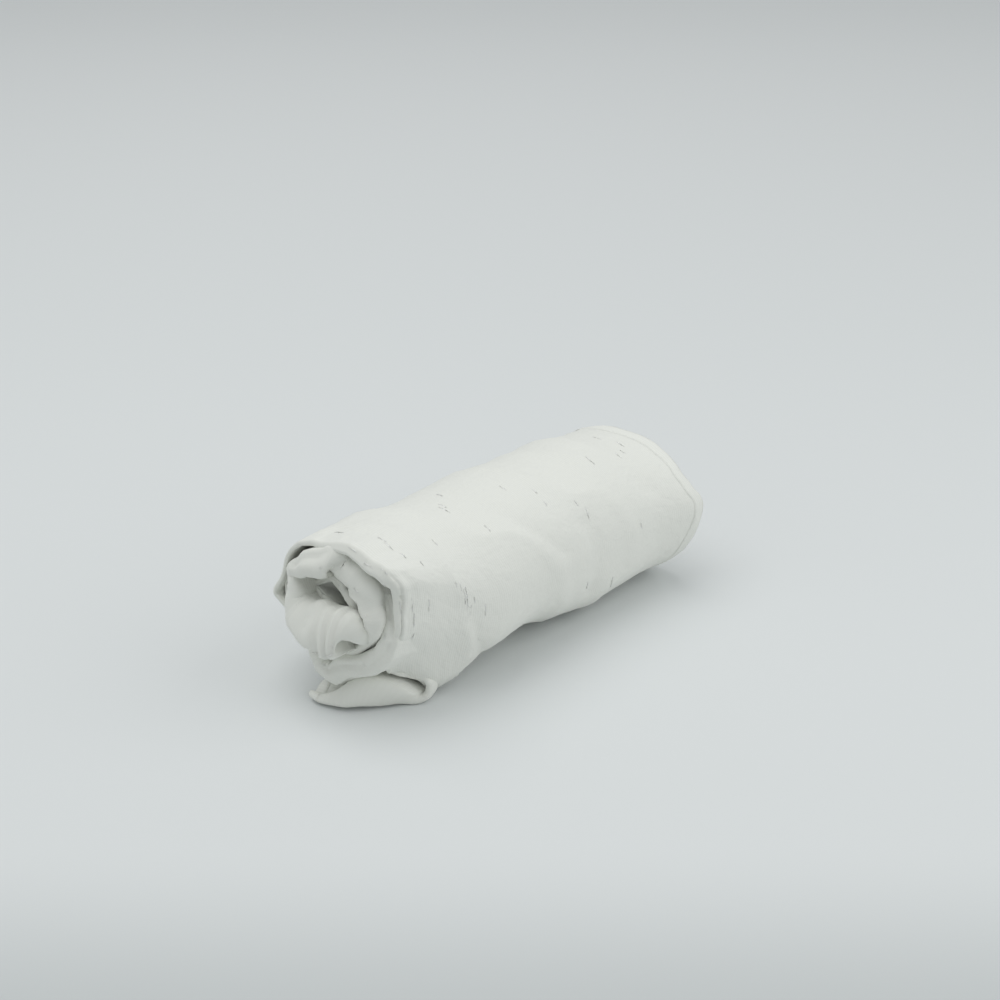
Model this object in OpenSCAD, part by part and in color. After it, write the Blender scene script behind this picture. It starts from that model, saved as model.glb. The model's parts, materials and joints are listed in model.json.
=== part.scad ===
// Baby wrap sling, put away: one long light cloth, folded into a soft band,
// rolled up and lying on its own end.
// X runs along the roll, from the folded end (-X) to the hemmed end (+X).
// Z is up and the roll lies on the plane z = 0, with its axis above the origin.

/* [Roll] */
// Length of the roll, from the folded end to the hemmed end
roll_length = 280; // [220:1:350]
// Width of the roll across its widest turn
roll_width = 121; // [100:1:150]
// Height of the roll above the surface that it lies on
roll_height = 106; // [85:1:130]
// Turns that the thick folded band makes inside the cover
band_turns = 2.55; // [2.3:0.05:2.7]
// Width of the hollow that is left in the middle
core_width = 26; // [20:1:40]
// Height of the hollow that is left in the middle
core_height = 16; // [12:1:24]
// Squareness of the sagging underside of each turn, where 2 is an ellipse
sag = 2.5; // [2:0.05:3]

/* [Cloth] */
// Thickness of the folded band of sixteen plies
band_thickness = 9; // [6:0.1:11]
// Thickness of the doubled cloth that covers the band and lies under the roll
cover_thickness = 2; // [1.2:0.1:3]
// Air between the cover and the band where the cover is closest
cover_gap = 1; // [0.5:0.1:2]
// Air between the turns of the band where they lie on each other
settle_gap = 0.8; // [0.5:0.1:2]

/* [Hems] */
// Width of each hem
hem_width = 9; // [6:0.5:14]
// Length of one stitch
stitch_length = 3.6; // [2.5:0.1:5]
// Distance from one stitch to the next
stitch_pitch = 5; // [4:0.1:8]
// Width of the sewing thread
thread_width = 0.6; // [0.4:0.05:1]
// Height of the thread above the cloth
thread_height = 0.3; // [0.2:0.05:0.5]
// Distance from the inner edge of a hem to its seam
seam_inset = 2; // [1:0.1:3]

/* [Metallic yarn] */
// Number of bright yarn floats on the cover
yarn_count = 44; // [0:1:80]
// Longest yarn float
yarn_length = 30; // [10:1:45]
// Width of the flat metallic yarn
yarn_width = 0.7; // [0.4:0.05:1.2]
// Height of a float above the cloth
yarn_height = 0.25; // [0.2:0.05:0.5]

/* [Tail] */
// Distance from the roll's axis to the line where the tail lifts
tail_line = 26; // [18:1:32]
// Clear space on each side of that line
tail_clear = 0.8; // [0.8:0.1:2]
// How far the end of the cloth lies to the side of the axis at the folded end
tail_near = 12; // [8:1:16]
// How far it lies to the side of the axis at the hemmed end
tail_far = 82; // [60:1:98]
// How far the corner of the cloth stands out past the folded end
corner_reach = 8; // [0:1:14]

/* [Hidden] */

cloth_colour = "gainsboro";
hem_colour = "lightgrey";
thread_colour = "whitesmoke";
yarn_colour = "silver";

step_angle = 5;             // degrees between the points of a turn
flat_half = 12;             // half width of the flat stretch below the axis
upper_power = 2.1;          // squareness of the upper half of each turn
slip_from = 0.72;           // turn at which the cover starts to slip inwards
surface_gap = 0.12;         // air under threads and yarns where they lie on a bend

near_x = -roll_length / 2;
far_x = roll_length / 2;
hem_x = far_x - hem_width;
seam_x = hem_x + seam_inset;

// Inset of the centre line from the outside of the roll, k turns in.
first_step = cover_thickness / 2 + cover_gap + band_thickness / 2;
band_inset = cover_thickness / 2 + first_step;
side_pitch = (roll_width / 2 - band_inset - core_width / 2 - band_thickness / 2) / band_turns;
settle_pitch = band_thickness + settle_gap;
core_floor = band_inset + band_turns * settle_pitch;
top_pitch = (roll_height - band_inset - core_floor - core_height - band_thickness) / band_turns;

// The cover keeps to the outside until the last quarter turn, where it slips
// in under the roll and opens into the band.
function eased(t) = t * t * (3 - 2 * t);
function inset(k, pitch) =
    cover_thickness / 2
        + (k <= 1
            ? first_step * eased(max(0, (k - slip_from) / (1 - slip_from)))
            : first_step + (k - 1) * pitch);
function half_width(k) = roll_width / 2 - inset(k, side_pitch);
function underside(k) = inset(k, settle_pitch);
function topside(k) = roll_height - inset(k, top_pitch);

// Centre line of the wound cloth in the YZ plane. It leaves the underside
// towards -Y, climbs that side, crosses the top and comes down the +Y side.
function squared(v, power) = sign(v) * pow(abs(v), 2 / power);
function power_at(k) = cos(360 * k) > 0 ? lower_power(k) : upper_power;
function lower_power(k) = sag + (upper_power - sag) * min(1, max(0, (k - 1) / band_turns));
function wound(k) = [
    -half_width(k) * squared(sin(360 * k), power_at(k)),
    (topside(k) + underside(k)) / 2
        - (topside(k) - underside(k)) / 2 * squared(cos(360 * k), power_at(k))
];

// Unit vector out of the roll at k turns in.
function unit(v) = v / norm(v);
function outward(k) =
    let (along = unit(wound(k + 0.004) - wound(k - 0.004)))
    [-along[1], along[0]];

// Points along the cloth from k1 to k2, a distance out from its centre line.
function face_points(k1, k2, out) =
    let (n = max(2, ceil(abs(k2 - k1) * 360 / step_angle)))
    [for (i = [0 : n]) let (k = k1 + (k2 - k1) * i / n) wound(k) + out * outward(k)];

// Length of the centre line from k1 to k2, and the turn that lies at a length.
function run_length(k1, k2, n = 48) =
    n == 0 ? 0 :
    let (k = k1 + (k2 - k1) / n)
    norm(wound(k) - wound(k1)) + run_length(k, k2, n - 1);
function turn_after(k1, distance) =
    k1 + distance / (run_length(k1, k1 + 0.02, 4) / 0.02);

// Wound cloth between two distances out from its centre line.
module wound_band(k1, k2, inner, outer, x1, x2) {
    translate([x1, 0, 0])
        rotate([90, 0, 90])
            linear_extrude(x2 - x1)
                polygon(concat(
                    face_points(k1, k2, outer),
                    face_points(k2, k1, inner)));
}

// The cover starts at the edge of the flat stretch.
cover_start = pow((flat_half / half_width(0)), sag / 2) * 180 / PI / 360;
band_end = 1 + band_turns;
hem_start = turn_after(band_end, -hem_width);
inner_split = 2;
core_split = 3;

module outer_turn()
    color(cloth_colour)
        wound_band(1, inner_split, -band_thickness / 2, band_thickness / 2, near_x, hem_x);

module inner_turn()
    color(cloth_colour)
        wound_band(inner_split, core_split, -band_thickness / 2, band_thickness / 2,
            near_x, hem_x);

module core_fold()
    color(cloth_colour)
        wound_band(core_split, hem_start, -band_thickness / 2, band_thickness / 2,
            near_x, hem_x);

module inner_end_hem()
    color(hem_colour)
        wound_band(hem_start, band_end, -band_thickness / 2, band_thickness / 2,
            near_x, hem_x);

// The cover's first edge is cut square, where the flat stretch carries on.
module cover_turn()
    color(cloth_colour)
        difference() {
            wound_band(cover_start, 1, -cover_thickness / 2, cover_thickness / 2,
                near_x, hem_x);
            translate([corner_x, -flat_half, -cover_thickness])
                cube([far_x - corner_x, flat_half, cover_thickness * 2.5]);
        }

// The end of the cloth lies askew. Its edge runs from the corner at the folded
// end to the hemmed end, and edge_y gives its place at any x.
corner_x = near_x - corner_reach;
edge_slope = (tail_far - tail_near) / (far_x - corner_x);
edge_angle = atan(edge_slope);
function edge_y(x) = tail_near + (x - corner_x) * edge_slope;
function edge_x(y) = corner_x + (y - tail_near) / edge_slope;
hem_run = hem_width / cos(edge_angle);      // width of the end hem along Y
fixed_edge = tail_line - tail_clear;
tail_edge = tail_line + tail_clear;

// Flat doubled cloth between two heights, with its outline in the XY plane.
module laid(points, low, high)
    translate([0, 0, low]) linear_extrude(high - low) polygon(points);

module floor_run()
    color(cloth_colour)
        laid([
            [near_x, -flat_half],
            [hem_x, -flat_half],
            [hem_x, fixed_edge],
            [edge_x(fixed_edge + hem_run), fixed_edge],
            [corner_x, edge_y(corner_x) - hem_run],
        ], 0, cover_thickness);

module corner_end_hem()
    color(hem_colour)
        laid([
            [corner_x, edge_y(corner_x) - hem_run],
            [edge_x(fixed_edge + hem_run), fixed_edge],
            [edge_x(fixed_edge), fixed_edge],
            [corner_x, edge_y(corner_x)],
        ], 0, cover_thickness);

module tail_flap()
    color(cloth_colour)
        laid([
            [edge_x(tail_edge + hem_run), tail_edge],
            [hem_x, tail_edge],
            [hem_x, edge_y(hem_x) - hem_run],
        ], 0, cover_thickness);

module tail_end_hem()
    color(hem_colour)
        laid([
            [edge_x(tail_edge), tail_edge],
            [edge_x(tail_edge + hem_run), tail_edge],
            [hem_x, edge_y(hem_x) - hem_run],
            [far_x, edge_y(far_x) - hem_run],
            [far_x, edge_y(far_x)],
        ], 0, cover_thickness);

// The wrap is doubled along its middle, so both of its long edges, the rails,
// meet at the hemmed end. The left rail is outermost (side 1), the right rail
// is innermost (side -1), and each takes half of the thickness.
module rail_hem(side, k1, k2, thickness)
    color(hem_colour)
        wound_band(k1, k2,
            side > 0 ? 0 : -thickness / 2, side > 0 ? thickness / 2 : 0,
            hem_x, far_x);

module floor_rail_hem(side)
    color(hem_colour)
        laid([[hem_x, -flat_half], [far_x, -flat_half], [far_x, fixed_edge], [hem_x, fixed_edge]],
            side > 0 ? 0 : cover_thickness / 2,
            side > 0 ? cover_thickness / 2 : cover_thickness);

module cover_left_rail_hem() {
    rail_hem(1, cover_start, 1, cover_thickness);
    floor_rail_hem(1);
}
module cover_right_rail_hem() {
    rail_hem(-1, cover_start, 1, cover_thickness);
    floor_rail_hem(-1);
}
module outer_left_rail_hem() rail_hem(1, 1, inner_split, band_thickness);
module outer_right_rail_hem() rail_hem(-1, 1, inner_split, band_thickness);
module inner_left_rail_hem() rail_hem(1, inner_split, band_end, band_thickness);
module inner_right_rail_hem() rail_hem(-1, inner_split, band_end, band_thickness);

module tail_rail_hem(side)
    color(hem_colour)
        laid([
            [hem_x, tail_edge],
            [far_x, tail_edge],
            [far_x, edge_y(far_x) - hem_run],
            [hem_x, edge_y(hem_x) - hem_run],
        ], side > 0 ? 0 : cover_thickness / 2,
           side > 0 ? cover_thickness / 2 : cover_thickness);

module tail_left_rail_hem() tail_rail_hem(1);
module tail_right_rail_hem() tail_rail_hem(-1);

// Stitches follow the cover round the hemmed end, outside and inside.
stitch_from = cover_start + 0.03;
stitch_to = 0.96;
stitch_count = floor(run_length(stitch_from, stitch_to) / stitch_pitch);

module rail_stitching(inner, outer)
    color(thread_colour)
        for (i = [0 : stitch_count - 1]) {
            k = stitch_from + (stitch_to - stitch_from) * i / stitch_count;
            wound_band(k, turn_after(k, stitch_length), inner, outer,
                seam_x, seam_x + thread_width);
        }

thread_low = cover_thickness / 2 + surface_gap;

module left_rail_stitching()
    rail_stitching(thread_low, thread_low + thread_height);
module right_rail_stitching()
    rail_stitching(-thread_low - thread_height, -thread_low);

// Metallic yarn comes to the surface as short floats that run round the roll.
yarn_at = rands(0, 1, 3 * max(1, yarn_count), 7);
yarn_margin = 8;

module metallic_yarns()
    color(yarn_colour)
        if (yarn_count > 0)
            for (i = [0 : yarn_count - 1]) {
                k = cover_start + 0.05 + 0.72 * yarn_at[3 * i];
                x = near_x + yarn_margin
                    + (hem_x - near_x - 2 * yarn_margin) * (i + yarn_at[3 * i + 1] / 2) / yarn_count;
                span = yarn_length * (0.4 + 0.6 * yarn_at[3 * i + 2]);
                wound_band(k, turn_after(k, span), thread_low, thread_low + yarn_height,
                    x, x + yarn_width);
            }

// Stitches and yarns on the upper side of the tail. The seam starts where it
// comes clear of the line where the tail lifts.
tail_seam_first =
    ceil(((hem_width - seam_inset) / tan(edge_angle) - hem_width + tail_clear) / stitch_pitch);
tail_seam_last = floor((far_x - edge_x(tail_edge)) / cos(edge_angle) / stitch_pitch) - 2;
tail_yarn_count = 5;

module tail_stitching()
    color(thread_colour)
        translate([edge_x(tail_edge), tail_edge, cover_thickness])
            rotate(edge_angle)
                for (i = [tail_seam_first : tail_seam_last])
                    translate([i * stitch_pitch + hem_width, -hem_width + seam_inset, 0])
                        cube([stitch_length, thread_width, thread_height]);

module tail_yarns()
    color(yarn_colour)
        for (i = [1 : tail_yarn_count]) {
            x = hem_x - i * (hem_x - edge_x(tail_edge)) / (2 * tail_yarn_count);
            translate([x, tail_edge + 2, cover_thickness])
                cube([yarn_width,
                    (edge_y(x) - hem_run - tail_edge) * 0.7, yarn_height]);
        }

outer_turn();
inner_turn();
core_fold();
cover_turn();
floor_run();
cover_left_rail_hem();
cover_right_rail_hem();
outer_left_rail_hem();
outer_right_rail_hem();
inner_left_rail_hem();
inner_right_rail_hem();
inner_end_hem();
corner_end_hem();
left_rail_stitching();
right_rail_stitching();
metallic_yarns();
tail_flap();
tail_left_rail_hem();
tail_right_rail_hem();
tail_end_hem();
tail_stitching();
tail_yarns();
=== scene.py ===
import bpy
import json
import math
import numpy as np
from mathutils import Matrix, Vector


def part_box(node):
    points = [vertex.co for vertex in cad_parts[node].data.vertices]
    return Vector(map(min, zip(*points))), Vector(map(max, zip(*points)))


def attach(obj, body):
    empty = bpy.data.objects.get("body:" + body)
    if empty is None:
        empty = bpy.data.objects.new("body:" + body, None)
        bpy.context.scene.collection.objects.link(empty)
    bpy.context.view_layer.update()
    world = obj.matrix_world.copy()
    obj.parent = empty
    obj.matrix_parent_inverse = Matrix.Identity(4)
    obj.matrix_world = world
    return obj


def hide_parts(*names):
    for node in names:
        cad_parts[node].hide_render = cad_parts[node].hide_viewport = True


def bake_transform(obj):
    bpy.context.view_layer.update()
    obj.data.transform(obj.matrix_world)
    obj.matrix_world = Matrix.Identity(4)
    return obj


# Baby wrap, folded and rolled up. Everything is in metres, x runs along the roll.
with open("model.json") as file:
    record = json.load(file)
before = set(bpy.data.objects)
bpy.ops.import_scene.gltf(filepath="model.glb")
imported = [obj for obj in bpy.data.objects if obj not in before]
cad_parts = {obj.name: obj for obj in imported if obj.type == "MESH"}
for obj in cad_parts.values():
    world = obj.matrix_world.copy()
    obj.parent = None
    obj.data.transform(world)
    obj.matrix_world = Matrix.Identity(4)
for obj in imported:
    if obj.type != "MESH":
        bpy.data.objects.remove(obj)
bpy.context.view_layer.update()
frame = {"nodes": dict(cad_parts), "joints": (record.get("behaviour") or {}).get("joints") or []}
mm = 0.001
print("frame loaded:", len(frame["nodes"]), "nodes")


# small maths helpers

def ease(t):
    t = np.clip(t, 0.0, 1.0)
    return t * t * (3 - 2 * t)


def mix(a, b, t):
    return a + (b - a) * t


def hump(t, centre, width):
    return np.exp(-((t - centre) / width) ** 2)


def throughPoints(at, knots, values):
    # smooth curve through given points, one value column
    slopes = np.gradient(values, knots)
    i = np.clip(np.searchsorted(knots, at) - 1, 0, len(knots) - 2)
    step = knots[i + 1] - knots[i]
    t = np.clip((at - knots[i]) / step, 0.0, 1.0)
    return ((2 * t**3 - 3 * t**2 + 1) * values[i] + (t**3 - 2 * t**2 + t) * step * slopes[i]
            + (3 * t**2 - 2 * t**3) * values[i + 1] + (t**3 - t**2) * step * slopes[i + 1])


noiseCells = 64   # the random field repeats after this many


def softNoise(a, b, seed):
    # smooth random field between -1 and 1, one cell per unit
    a, b = np.broadcast_arrays(a, b)
    grid = np.random.default_rng(seed).uniform(-1, 1, (noiseCells, noiseCells))
    ia, ib = np.floor(a).astype(int), np.floor(b).astype(int)
    ta, tb = ease(a - ia), ease(b - ib)
    nextA, nextB = (ia + 1) % noiseCells, (ib + 1) % noiseCells
    ia, ib = ia % noiseCells, ib % noiseCells
    return mix(mix(grid[ia, ib], grid[nextA, ib], ta),
               mix(grid[ia, nextB], grid[nextA, nextB], ta), tb)


def unit(v):
    return v / np.maximum(np.linalg.norm(v, axis=-1, keepdims=True), 1e-12)


# meshes from grids of points

def meshObject(name, verts, faces, material, uvs=None):
    mesh = bpy.data.meshes.new(name)
    mesh.from_pydata(np.asarray(verts).reshape(-1, 3).tolist(), [], np.asarray(faces).tolist())
    if uvs is not None:
        layer = mesh.uv_layers.new(name="clothMetres")
        corner = np.empty(len(mesh.loops), dtype=np.int32)
        mesh.loops.foreach_get("vertex_index", corner)
        layer.data.foreach_set("uv", np.asarray(uvs).reshape(-1, 2)[corner].ravel())
    mesh.polygons.foreach_set("use_smooth", [True] * len(mesh.polygons))
    mesh.materials.append(material)
    mesh.update()
    made = bpy.data.objects.new(name, mesh)
    bpy.context.scene.collection.objects.link(made)
    return made


def gridFaces(rows, columns, first=0, wrap=False):
    index = first + np.arange(rows * columns).reshape(rows, columns)
    if wrap:
        index = np.concatenate([index, index[:, :1]], axis=1)
    return np.stack([index[:-1, :-1], index[:-1, 1:], index[1:, 1:], index[1:, :-1]],
                    axis=-1).reshape(-1, 4)


def lengthAlong(points):
    return np.concatenate([[0], np.cumsum(np.linalg.norm(np.diff(points, axis=0), axis=-1))])


def gridNormals(points):
    return unit(np.cross(np.gradient(points, axis=0), np.gradient(points, axis=1)))


# finishes

def toLinear(hexColour):
    channels = [int(hexColour[i:i + 2], 16) / 255 for i in (1, 3, 5)]
    return [c / 12.92 if c <= 0.04045 else ((c + 0.055) / 1.055) ** 2.4 for c in channels] + [1.0]


def addNode(tree, kind, settings=None, inputs=None, links=None):
    node = tree.nodes.new(kind)
    for key, value in (settings or {}).items():
        setattr(node, key, value)
    for key, value in (inputs or {}).items():
        node.inputs[key].default_value = value
    for key, socket in (links or {}).items():
        tree.links.new(socket, node.inputs[key])
    return node


gauze = {
    "light": "#f3f4ee",        # where the threads stand up and catch the light
    "shade": "#edeee7",        # between the threads
    # real threads are about 0.8 mm apart, too fine to show, so they are drawn coarser
    "ribSpacing": 1.7 * mm,
    "ribHeight": 0.05 * mm,
    "crinkleSize": 7 * mm,
    "crinkleHeight": 0.8 * mm,
    "crossShare": 0.2,         # how much the threads along the roll show beside the ribs
    "ior": 1.46,
    "roughness": 0.88,
    "sheen": 0.25,
    "through": 0.06,           # light that passes the open weave
    "throughTint": "#f2f0e6",
}


def waveScale(spacing):
    # a wave texture at scale 1 draws about 3.2 bands to the unit
    return 1 / spacing / 3.2


def wovenGauze(name, look):
    # open plain weave in spun yarn: matt, with fine ribs round the roll and a soft crinkle
    material = bpy.data.materials.new(name)
    material.use_nodes = True
    tree = material.node_tree
    tree.nodes.clear()
    place = addNode(tree, "ShaderNodeUVMap", {"uv_map": "clothMetres"})
    ribs = addNode(tree, "ShaderNodeTexWave",
                   {"wave_type": "BANDS", "bands_direction": "X", "wave_profile": "SIN"},
                   {"Scale": waveScale(look["ribSpacing"]), "Distortion": 0.6, "Detail": 2.0,
                    "Detail Scale": 0.5},
                   {"Vector": place.outputs["UV"]})
    picks = addNode(tree, "ShaderNodeTexWave",
                    {"wave_type": "BANDS", "bands_direction": "Y", "wave_profile": "SIN"},
                    {"Scale": waveScale(look["ribSpacing"]), "Distortion": 0.8, "Detail": 2.0},
                    {"Vector": place.outputs["UV"]})
    weave = addNode(tree, "ShaderNodeMix", {"data_type": "FLOAT"},
                    {"Factor": look["crossShare"]},
                    {"A": ribs.outputs["Fac"], "B": picks.outputs["Fac"]})
    crinkle = addNode(tree, "ShaderNodeTexNoise", None,
                      {"Scale": 1 / look["crinkleSize"], "Detail": 4.0, "Roughness": 0.55},
                      {"Vector": place.outputs["UV"]})
    colour = addNode(tree, "ShaderNodeMix", {"data_type": "RGBA"},
                     {"A": toLinear(look["shade"]), "B": toLinear(look["light"])},
                     {"Factor": weave.outputs["Result"]})
    crinkleBump = addNode(tree, "ShaderNodeBump", None,
                          {"Strength": 1.0, "Distance": look["crinkleHeight"]},
                          {"Height": crinkle.outputs["Fac"]})
    weaveBump = addNode(tree, "ShaderNodeBump", None,
                        {"Strength": 1.0, "Distance": look["ribHeight"]},
                        {"Height": weave.outputs["Result"],
                         "Normal": crinkleBump.outputs["Normal"]})
    shader = addNode(tree, "ShaderNodeBsdfPrincipled", None,
                     {"Roughness": look["roughness"], "IOR": look["ior"],
                      "Specular IOR Level": 0.25, "Sheen Weight": look["sheen"],
                      "Sheen Roughness": 0.5},
                     {"Base Color": colour.outputs["Result"],
                      "Normal": weaveBump.outputs["Normal"]})
    through = addNode(tree, "ShaderNodeBsdfTranslucent", None,
                      {"Color": toLinear(look["throughTint"])},
                      {"Normal": weaveBump.outputs["Normal"]})
    both = addNode(tree, "ShaderNodeMixShader", None, {"Fac": look["through"]},
                   {1: shader.outputs["BSDF"], 2: through.outputs["BSDF"]})
    addNode(tree, "ShaderNodeOutputMaterial", None, None, {"Surface": both.outputs["Shader"]})
    return material


# mercerised cotton sewing thread: a little brighter and smoother than the gauze,
# with a ply twist that breaks up its shine
cottonThread = {
    "shade": "#eeefe9",
    "light": "#f8f9f4",
    "grain": 0.6 * mm,         # length of the ply twist
    "detail": 2.0,
    "bump": 0.6,
    "height": 0.1 * mm,
    "metallic": 0.0,
    "roughness": 0.55,
    "sheen": 0.15,
}
# slit metallised film under a clear coat: a strip that is bright or dim by how it is
# turned, with small creases
metallisedFilm = {
    "shade": "#e6e6e1",
    "light": "#ffffff",
    "grain": 1.5 * mm,         # from crease to crease
    "detail": 1.0,
    "bump": 0.8,
    "height": 0.2 * mm,
    "metallic": 0.6,
    "roughness": 0.3,
    "sheen": 0.0,
}


def fineStrand(name, look):
    # one fine grain gives the strand both its tone and its relief
    material = bpy.data.materials.new(name)
    material.use_nodes = True
    tree = material.node_tree
    shader = tree.nodes["Principled BSDF"]
    place = addNode(tree, "ShaderNodeTexCoord")
    grain = addNode(tree, "ShaderNodeTexNoise", None,
                    {"Scale": 1 / look["grain"], "Detail": look["detail"]},
                    {"Vector": place.outputs["Object"]})
    colour = addNode(tree, "ShaderNodeMix", {"data_type": "RGBA"},
                     {"A": toLinear(look["shade"]), "B": toLinear(look["light"])},
                     {"Factor": grain.outputs["Fac"]})
    bump = addNode(tree, "ShaderNodeBump", None,
                   {"Strength": look["bump"], "Distance": look["height"]},
                   {"Height": grain.outputs["Fac"]})
    tree.links.new(colour.outputs["Result"], shader.inputs["Base Color"])
    tree.links.new(bump.outputs["Normal"], shader.inputs["Normal"])
    shader.inputs["Metallic"].default_value = look["metallic"]
    shader.inputs["Roughness"].default_value = look["roughness"]
    shader.inputs["Sheen Weight"].default_value = look["sheen"]
    return material


clothFinish = wovenGauze("gauze_cloth", gauze)
hemFinish = wovenGauze("pressed_hem", {**gauze, "light": "#f4f5ef", "shade": "#eeefe8",
                                       "crinkleHeight": 0.25 * mm})
threadFinish = fineStrand("spun_thread", cottonThread)
yarnFinish = fineStrand("metallic_yarn", metallisedFilm)
print("finishes ready")


# the roll, read from the frame

coverLow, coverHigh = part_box("cover_turn")
floorLow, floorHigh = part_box("floor_run")
endLow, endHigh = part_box("tail_end_hem")
roll = {
    "near": coverLow.x,
    "far": endHigh.x,
    "hem": coverHigh.x,
    "width": -2 * coverLow.y,
    "height": coverHigh.z,
    "turns": 2.55,               # of the thick band, inside the cover
    "coreWidth": 26 * mm,
    "coreHeight": 16 * mm,
    "sag": 2.5,                  # how square the lower half is, 2 is an ellipse
    "upper": 2.1,                # and the upper half
    "slipFrom": 0.72,            # turns round, where the cover starts to slip inwards
    "coverGap": 1 * mm,
    "settleGap": 0.8 * mm,
}
cloth = {
    "width": 0.56,
    "length": 4.6,
    "band": 9 * mm,              # all of the plies together
    "cover": floorHigh.z,        # the doubled cloth
    "coverShare": 0.9,           # how much of that its two faces stand apart
    "bandFrom": 0.93,            # turns round, where the cover runs into the band
    "bandOver": 0.09,
    "strands": 8,                # plies of the band
    "underHem": 1 * mm,          # how far the cloth runs in under its hems
    "clear": 0.15 * mm,          # between the lowest ply and the floor
}
hingeY = frame["joints"][0]["pos_m"][1]
endSlope = (endHigh.y - endLow.y) / (endHigh.x - endLow.x)


def endEdge(x):
    # the slanting end of the cloth, y at any x
    return endHigh.y - (endHigh.x - x) * endSlope


firstStep = cloth["cover"] / 2 + roll["coverGap"] + cloth["band"] / 2
bandInset = cloth["cover"] / 2 + firstStep
sideRoom = roll["width"] / 2 - bandInset - roll["coreWidth"] / 2 - cloth["band"] / 2
sidePitch = sideRoom / roll["turns"]
settlePitch = cloth["band"] + roll["settleGap"]
coreFloor = bandInset + roll["turns"] * settlePitch
topRoom = roll["height"] - bandInset - coreFloor - roll["coreHeight"] - cloth["band"]
topPitch = topRoom / roll["turns"]
bandEnd = 1 + roll["turns"]
coverStart = 0.015              # turns round, where the cover leaves the floor
floorStart = -0.10              # and the end of the cloth that lies on it
flatHalf = -floorLow.y


def inset(k, pitch):
    slip = ease((k - roll["slipFrom"]) / (1 - roll["slipFrom"]))
    return cloth["cover"] / 2 + np.where(k <= 1, firstStep * slip, firstStep + (k - 1) * pitch)


def wound(k):
    # centre line of the cloth k turns in from the floor, as (y, z)
    angle = 2 * math.pi * k
    half = roll["width"] / 2 - inset(k, sidePitch)
    under = inset(k, settlePitch)
    top = roll["height"] - inset(k, topPitch)
    lower = roll["sag"] + (roll["upper"] - roll["sag"]) * np.clip((k - 1) / roll["turns"], 0, 1)
    power = np.where(np.cos(angle) > 0, lower, roll["upper"])
    side = np.sign(np.sin(angle)) * np.abs(np.sin(angle)) ** (2 / power)
    rise = np.sign(np.cos(angle)) * np.abs(np.cos(angle)) ** (2 / power)
    return -half * side, (top + under) / 2 - (top - under) / 2 * rise
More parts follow.
